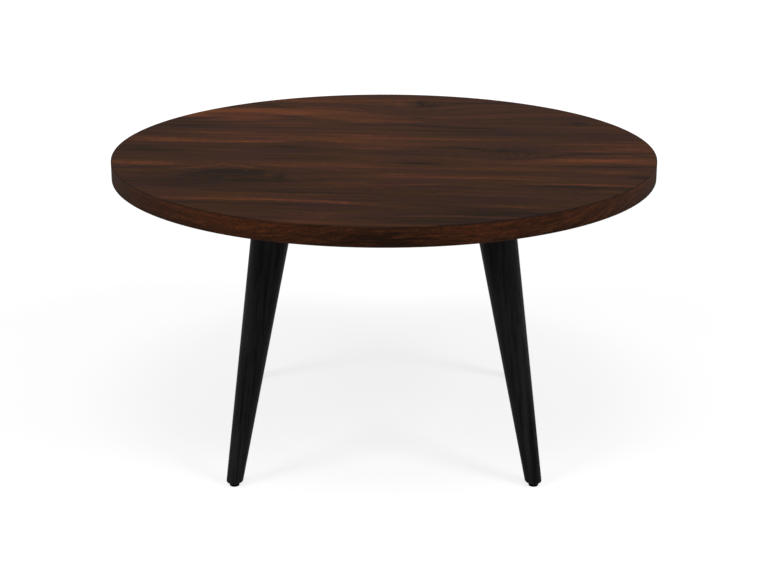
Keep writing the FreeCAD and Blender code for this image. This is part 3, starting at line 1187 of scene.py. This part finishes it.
def seat(piece: bpy.types.Object, body: str, slot: str, *nodes: str) -> None:
    """Sets a piece on its body in place of CAD nodes, and reports it.

    Args:
        piece: the new piece.
        body: the body that it moves with.
        slot: the slot for its finish; not used.
        nodes: the CAD nodes that it stands for.
    """
    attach(piece, body)
    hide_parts(*nodes)
    LOG.info("built %s: %d faces on %s", piece.name, len(piece.data.polygons), body)


def dress(node: str, finish: Finish) -> None:
    """Gives a CAD node its finish, and reports it.

    Args:
        node: the node's name.
        finish: its material.
    """
    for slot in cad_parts[node].material_slots:
        slot.material = finish.material()
    LOG.info("dressed %s in %s", node, finish.name)


@dataclass
class SubAssembly:
    """A part of the table that is built from its own lengths."""

    def lengths(self) -> dict[str, float]:
        """The lengths among its fields, named as the inputs of a tree."""
        names = (size.name for size in fields(self) if size.type is float)
        return {name.replace("_", " ").capitalize(): getattr(self, name) for name in names}


@dataclass
class TableTop:
    """The round top: a core between two veneers, with a lipping round it."""

    radius: float = 406.5 * MM
    underside: float = 420.4 * MM
    face: float = 449.0 * MM
    veneer: float = 1.5 * MM
    lipping: float = 3.0 * MM
    rim_round: float = 1.2 * MM
    sides: int = 360
    round_steps: int = 5

    def build(self) -> None:
        """Makes the three layers that show and dresses the core."""
        self._veneer_disc("walnut_top_face", WALNUT_FACE, Side.FACE)
        self._veneer_disc("walnut_backing", WALNUT_BACKING, Side.BACKING)
        self._edge_band()
        dress("top_core", CORE_BOARD)

    def _veneer_disc(self, name: str, finish: Finish, side: Side) -> None:
        """A veneer disc with one eased rim.

        Args:
            name: the piece's name.
            finish: its material.
            side: whether it is the face, eased above, or the backing, eased below.
        """
        sizes = {
            "Radius": self.radius,
            "Bottom": self.face - self.veneer if side is Side.FACE else self.underside,
            "Thickness": self.veneer,
            "Rim round": self.rim_round,
        }
        tree = ShapeTree(name, sizes)
        radius, low, thick, easing = (tree.sizes[size] for size in sizes)
        top = low + thick
        arc = [QUARTER_TURN * step / self.round_steps for step in range(self.round_steps + 1)]
        if side is Side.FACE:
            eased = [
                (radius - easing * (1 - math.cos(turn)), top - easing * (1 - math.sin(turn)))
                for turn in arc
            ]
            rings = [(0.0, low), (radius, low), *eased, (0.0, top)]
        else:
            eased = [
                (radius - easing * (1 - math.sin(turn)), low + easing * (1 - math.cos(turn)))
                for turn in arc
            ]
            rings = [(0.0, low), *eased, (radius, top), (0.0, top)]
        shape = tree.turned(tree.wheel(self.sides, len(rings)), rings)
        piece = tree.piece(name, shape, finish)
        seat(piece, TABLE_BODY, f"walnut_{side.value}", f"{side.value}_veneer")

    def _edge_band(self) -> None:
        """The lipping between the two veneers."""
        sizes = {
            "Radius": self.radius,
            "Thickness": self.lipping,
            "Bottom": self.underside + self.veneer,
            "Top": self.face - self.veneer,
        }
        tree = ShapeTree("walnut_edge_band", sizes)
        outer, thick, low, high = (tree.sizes[size] for size in sizes)
        inner = outer - thick
        rings = [(inner, low), (outer, low), (outer, high), (inner, high), (inner, low)]
        shape = tree.turned(tree.wheel(self.sides, len(rings)), rings)
        piece = tree.piece("walnut_edge_band", shape, WALNUT_EDGE)
        seat(piece, TABLE_BODY, "walnut_edge", "edge_band")


@dataclass
class Leg(SubAssembly):
    """One tapered, splayed leg, cut level at both ends and eased at its foot."""

    corner: Corner
    top_circle: float = 218.0 * MM
    foot_circle: float = 309.294 * MM
    top_level: float = 417.4 * MM
    foot_level: float = 5.6 * MM
    top_radius: float = 30.15 * MM
    foot_radius: float = 12.0 * MM
    foot_round: float = 3.0 * MM
    sides: int = 64
    rows: int = 44
    crowding: int = 3
    crease_deg: int = 50

    def build(self) -> None:
        """Makes the leg with its own grain, and dresses its plate, screws and foot insert."""
        name = f"turned_leg_{self.corner.label}"
        tree = ShapeTree(name, {**self.lengths(), "Direction": self.corner.turn})
        piece = tree.piece(name, self._shape(tree), LEG_BLACK, self.crease_deg)
        seat(piece, TABLE_BODY, "black_stained_wood", f"leg_{self.corner.label}")
        dress(f"leg_plate_{self.corner.label}", PLATE_BLACK)
        for fixing in ("leg_screws", "top_inserts", "foot_insert"):
            dress(f"{fixing}_{self.corner.label}", ZINC)

    def _shape(self, tree: ShapeTree) -> Field:
        """The leg's mesh.

        Args:
            tree: the leg's tree, with its sizes.

        Returns:
            A cone along the splayed axis whose rings lie level, with its grain's own coordinates.
        """
        size = tree.sizes
        sheet, turn, row = tree.wheel(self.sides, self.rows)
        lean = size["Foot circle"] - size["Top circle"]
        rise = size["Top level"] - size["Foot level"]
        length = (lean * lean + rise * rise).maths("SQRT")
        sine = lean / length
        cosine = rise / length
        taper = (size["Top radius"] - size["Foot radius"]) / length
        # The first and last rows close the ends, and the rest crowd towards the rounded foot.
        share = ((row - 1.0) / (self.rows - 3)).clamp()
        height = rise * share**self.crowding
        out = turn.maths("COSINE")
        side = turn.maths("SINE")
        along = (height - size["Foot radius"] * out * sine) / (cosine + taper * out * sine)
        radius = size["Foot radius"] + taper * along
        middle = size["Foot circle"] - sine * height / cosine
        across = size["Foot circle"] - sine * along + radius * out * cosine - middle
        sideways = radius * side
        reach = (across * across + sideways * sideways).maths("SQRT")
        corner = size["Foot round"]
        gap = (corner - height).maths("MAXIMUM", 0.0)
        inset = corner - (corner * corner - gap * gap).maths("MAXIMUM", 0.0).maths("SQRT")
        scale = (1.0 - inset / reach) * (1.0 - tree.poles(row, self.rows))
        x, y = tree.rotated(middle + across * scale, sideways * scale, size["Direction"])
        # The direction also moves the grain along, so that no two legs are cut from the same wood.
        grain = tree.combine(radius * out + size["Direction"], radius * side, along)
        settings = {"data_type": "FLOAT_VECTOR", "domain": "POINT"}
        sockets = {"Geometry": sheet, "Name": "grain", "Value": grain}
        marked = tree.node("GeometryNodeStoreNamedAttribute", settings, sockets)
        return tree.bent(marked, x, y, height + size["Foot level"])


@dataclass
class PlateBolts(SubAssembly):
    """The button-head bolts that hold the leg plates to the top."""

    circle: float = 218.0 * MM
    spacing: float = 68.0 * MM
    seat_level: float = 417.4 * MM
    length: float = 16.0 * MM
    shank_radius: float = 3.0 * MM
    head_radius: float = 5.25 * MM
    flat_radius: float = 2.9 * MM
    head_height: float = 3.3 * MM
    key_flats: float = 4.0 * MM
    key_depth: float = 2.0 * MM
    sides: int = 36
    dome_steps: int = 6
    socket_rows: int = 3
    shank_rows: int = 4
    key_sides: int = 6
    per_plate: int = 4
    per_row: int = 2
    tip_share: ClassVar[float] = 0.25

    def build(self) -> None:
        """Makes one bolt and repeats it at every hole of every plate."""
        tree = ShapeTree("plate_bolts", self.lengths())
        sockets = {"Points": self._places(tree), "Instance": self._bolt(tree)}
        repeated = tree.node("GeometryNodeInstanceOnPoints", {}, sockets)
        nodes = [f"plate_screws_{corner.label}" for corner in Corner]
        seat(tree.piece("plate_bolts", repeated, ZINC), TABLE_BODY, "zinc_steel", *nodes)

    def _places(self, tree: ShapeTree) -> Field:
        """The bolt holes of the four corners' plates.

        Args:
            tree: the bolts' tree, with their sizes.

        Returns:
            A point at every hole.
        """
        index = tree.node("GeometryNodeInputIndex")
        plate = (index / self.per_plate).maths("FLOOR")
        hole = index - plate * self.per_plate
        outer = (hole / self.per_row).maths("FLOOR")
        side = hole - outer * self.per_row
        x = tree.sizes["Circle"] + tree.sizes["Spacing"] * (outer - HALF)
        y = tree.sizes["Spacing"] * (side - HALF)
        quarter = FULL_TURN / len(Corner)
        x, y = tree.rotated(x, y, (plate + HALF) * quarter)
        count = self.per_plate * len(Corner)
        place = tree.combine(x, y, tree.sizes["Seat level"])
        return tree.node("GeometryNodePoints", {}, {"Count": count, "Position": place})

    def _bolt(self, tree: ShapeTree) -> Field:
        """One bolt, head down, with its seat at zero.

        Args:
            tree: the bolts' tree, with their sizes.

        Returns:
            The mesh: a key socket, a domed head and a shank.
        """
        size = tree.sizes
        wheel = tree.wheel(self.sides, self.socket_rows + self.dome_steps + 1 + self.shank_rows)
        turn = wheel[1]
        flat = FULL_TURN / self.key_sides
        swing = turn.maths("FLOORED_MODULO", flat) - flat / 2
        hexagon = size["Key flats"] / 2 / swing.maths("COSINE")
        crown = -size["Head height"]
        floor = crown + size["Key depth"]
        rings: list[tuple[Number, Number]] = [(0.0, floor), (hexagon, floor), (hexagon, crown)]
        span = size["Head radius"] - size["Flat radius"]
        for step in range(self.dome_steps + 1):
            climb = QUARTER_TURN * step / self.dome_steps
            radius = size["Flat radius"] + span * math.sin(climb)
            rings.append((radius, crown * math.cos(climb)))
        shank = size["Shank radius"]
        end = size["Length"]
        rings += [
            (shank, 0.0),
            (shank, end - shank * self.tip_share),
            (shank * (1 - self.tip_share), end),
            (0.0, end),
        ]
        return tree.turned(wheel, rings)


@dataclass
class Leveller(SubAssembly):
    """One screw-in leveller: a threaded stud in a moulded pad."""

    corner: Corner
    circle: float = 309.294 * MM
    bottom: float = 1.6 * MM
    top: float = 23.3 * MM
    radius: float = 3.0 * MM
    thread_depth: float = 0.55 * MM
    pitch: float = 1.0 * MM
    collar_radius: float = 4.5 * MM
    collar_height: float = 1.6 * MM
    end_chamfer: float = 0.8 * MM
    sides: int = 24
    rows_per_turn: int = 6
    collar_rows: int = 3
    end_rows: int = 2
    crease_deg: int = 80
    tip_share: ClassVar[float] = 0.9

    def build(self) -> None:
        """Makes the threaded stud and dresses the pad."""
        label = self.corner.label
        name = f"threaded_stud_{label}"
        tree = ShapeTree(name, {**self.lengths(), "Direction": self.corner.turn})
        piece = tree.piece(name, self._shape(tree), ZINC, self.crease_deg)
        seat(piece, f"leveller_{label}", "zinc_steel", f"leveller_stud_{label}")
        dress(f"leveller_pad_{label}", NYLON)

    def _shape(self, tree: ShapeTree) -> Field:
        """The stud's mesh.

        Args:
            tree: the stud's tree, with its sizes.

        Returns:
            A collar, then a helical thread up to a chamfered end.
        """
        size = tree.sizes
        turns = (self.top - self.bottom - self.collar_height) / self.pitch
        threaded = int(turns * self.rows_per_turn)
        rows = self.collar_rows + threaded + self.end_rows
        sheet, turn, row = tree.wheel(self.sides, rows)
        start = size["Bottom"] + size["Collar height"]
        share = ((row - self.collar_rows) / (threaded - 1)).clamp()
        height = start + (size["Top"] - start) * share
        wave = (height / size["Pitch"] - turn / FULL_TURN).maths("PINGPONG", HALF) / HALF
        crest = size["Radius"] - size["Thread depth"] * wave
        taper = size["Radius"] - size["End chamfer"] * self.tip_share - (height - size["Top"])
        radius = crest.maths("MINIMUM", taper)
        collar = tree.first_rows(row, self.collar_rows)
        lower = tree.first_rows(row, self.collar_rows - 1)
        radius = (radius + (size["Collar radius"] - radius) * collar) * (1.0 - tree.poles(row, rows))
        z = height + (size["Bottom"] - height) * lower
        x, y = tree.rotated(
            size["Circle"] + radius * turn.maths("COSINE"),
            radius * turn.maths("SINE"),
            size["Direction"],
        )
        return tree.bent(sheet, x, y, z)


@dataclass(frozen=True)
class SoftBox:
    """A soft box that points at the foot of the table, with its sizes in metres."""

    name: str
    place: tuple[float, float, float]
    width: float
    depth: float
    watts: float

    def build(self) -> None:
        """Hangs the box in its place."""
        data = bpy.data.lights.new(self.name, "AREA")
        data.shape = "RECTANGLE"
        data.size = self.width
        data.size_y = self.depth
        data.energy = self.watts
        lamp = bpy.data.objects.new(self.name, data)
        lamp.location = self.place
        aim = -lamp.location
        lamp.rotation_euler = aim.to_track_quat("-Z", "Y").to_euler()
        bpy.context.scene.collection.objects.link(lamp)


SOFT_BOXES = (
    SoftBox("box_overhead", (0.0, -2.25, 5.56), 2.2, 1.5, 84.0),
    SoftBox("box_left", (-3.5, -2.64, 4.09), 1.7, 1.4, 99.0),
    SoftBox("box_right", (3.5, -2.64, 4.09), 1.7, 1.4, 119.0),
)


@dataclass
class Studio:
    """The pale floor, the soft light and the camera."""

    floor_reach: float = 40.0
    floor_colour: Colour = (0.9, 0.9, 0.9)
    floor_glow: float = 1.14
    floor_glow_share: float = 0.68
    shadow_reach: Span = (0.95, 2.0)
    sky: float = 0.368
    white: Colour = (1.0, 1.0, 1.0)
    boxes: tuple[SoftBox, ...] = SOFT_BOXES
    eye: tuple[float, float, float] = (0.0, -2.5527, 1.0768)
    pitch_deg: float = 18.3166
    lens: float = 81.72
    sensor: float = 36.0

    def build(self) -> None:
        """Sets up the view, the world, the lamps, the floor and the camera."""
        bpy.context.scene.view_settings.view_transform = "Standard"
        self._world()
        for box in self.boxes:
            box.build()
        self._floor()
        self._camera()

    @staticmethod
    def _seen(book: NodeBook) -> Field:
        """The rays that show the background: the camera's, and those in gloss and glass.

        Args:
            book: the nodes of the world or the floor.

        Returns:
            1 for those rays and 0 for the others.
        """
        seen = book.node("ShaderNodeLightPath", {}, {}, "Is Camera Ray")
        outputs = seen.socket.node.outputs
        for ray in ("Is Glossy Ray", "Is Transmission Ray"):
            seen = seen.maths("MAXIMUM", Field(book, outputs[ray]))
        return seen

    def _world(self) -> None:
        """An even sky that looks white."""
        world = bpy.data.worlds.new("studio")
        world.use_nodes = True
        world.node_tree.nodes.clear()
        book = NodeBook(world.node_tree)
        white = {"Color": (*self.white, 1.0)}
        sky = book.node("ShaderNodeBackground", {}, {**white, "Strength": self.sky})
        shown = book.node("ShaderNodeBackground", {}, white)
        both = book.node("ShaderNodeMixShader", {}, {0: self._seen(book), 1: sky, 2: shown})
        book.node("ShaderNodeOutputWorld", {}, {"Surface": both})
        bpy.context.scene.world = world

    def _floor(self) -> None:
        """A white floor, seen from above only, that keeps a soft shadow."""
        reach = self.floor_reach
        mesh = bpy.data.meshes.new("floor")
        corners = [(-reach, -reach, 0), (reach, -reach, 0), (reach, reach, 0), (-reach, reach, 0)]
        mesh.from_pydata(corners, [], [(0, 1, 2, 3)])
        floor = bpy.data.objects.new("floor", mesh)
        bpy.context.scene.collection.objects.link(floor)
        material = bpy.data.materials.new("floor_white")
        material.use_nodes = True
        material.node_tree.nodes.clear()
        book = NodeBook(material.node_tree)
        pale = book.node("ShaderNodeBsdfDiffuse", {}, {"Color": (*self.floor_colour, 1.0)})
        glow = book.node("ShaderNodeEmission", {}, {"Strength": self.floor_glow})
        place = book.node("ShaderNodeTexCoord", {}, {}, "Object")
        away = book.vector_maths("LENGTH", place, output="Value").smoothstep(*self.shadow_reach)
        share = self._seen(book) * (away * (1.0 - self.floor_glow_share) + self.floor_glow_share)
        lit = book.node("ShaderNodeMixShader", {}, {0: share, 1: pale, 2: glow})
        below = book.node("ShaderNodeNewGeometry", {}, {}, "Backfacing")
        clear = book.node("ShaderNodeBsdfTransparent")
        whole = book.node("ShaderNodeMixShader", {}, {0: below, 1: lit, 2: clear})
        book.node("ShaderNodeOutputMaterial", {}, {"Surface": whole})
        mesh.materials.append(material)

    def _camera(self) -> None:
        """The photograph's view, from the front and a little above."""
        data = bpy.data.cameras.new("camera")
        data.lens = self.lens
        data.sensor_width = self.sensor
        data.sensor_fit = "HORIZONTAL"
        camera = bpy.data.objects.new("camera", data)
        camera.location = self.eye
        camera.rotation_euler = (math.radians(RIGHT_ANGLE_DEG - self.pitch_deg), 0.0, 0.0)
        bpy.context.scene.collection.objects.link(camera)
        bpy.context.scene.camera = camera


def main() -> None:
    """Builds the studio, then the top, the legs, the bolts and the levellers."""
    logging.basicConfig(level=logging.INFO)
    Studio().build()
    TableTop().build()
    for corner in Corner:
        Leg(corner).build()
    PlateBolts().build()
    for corner in Corner:
        Leveller(corner).build()


if __name__ == "__main__":
    main()
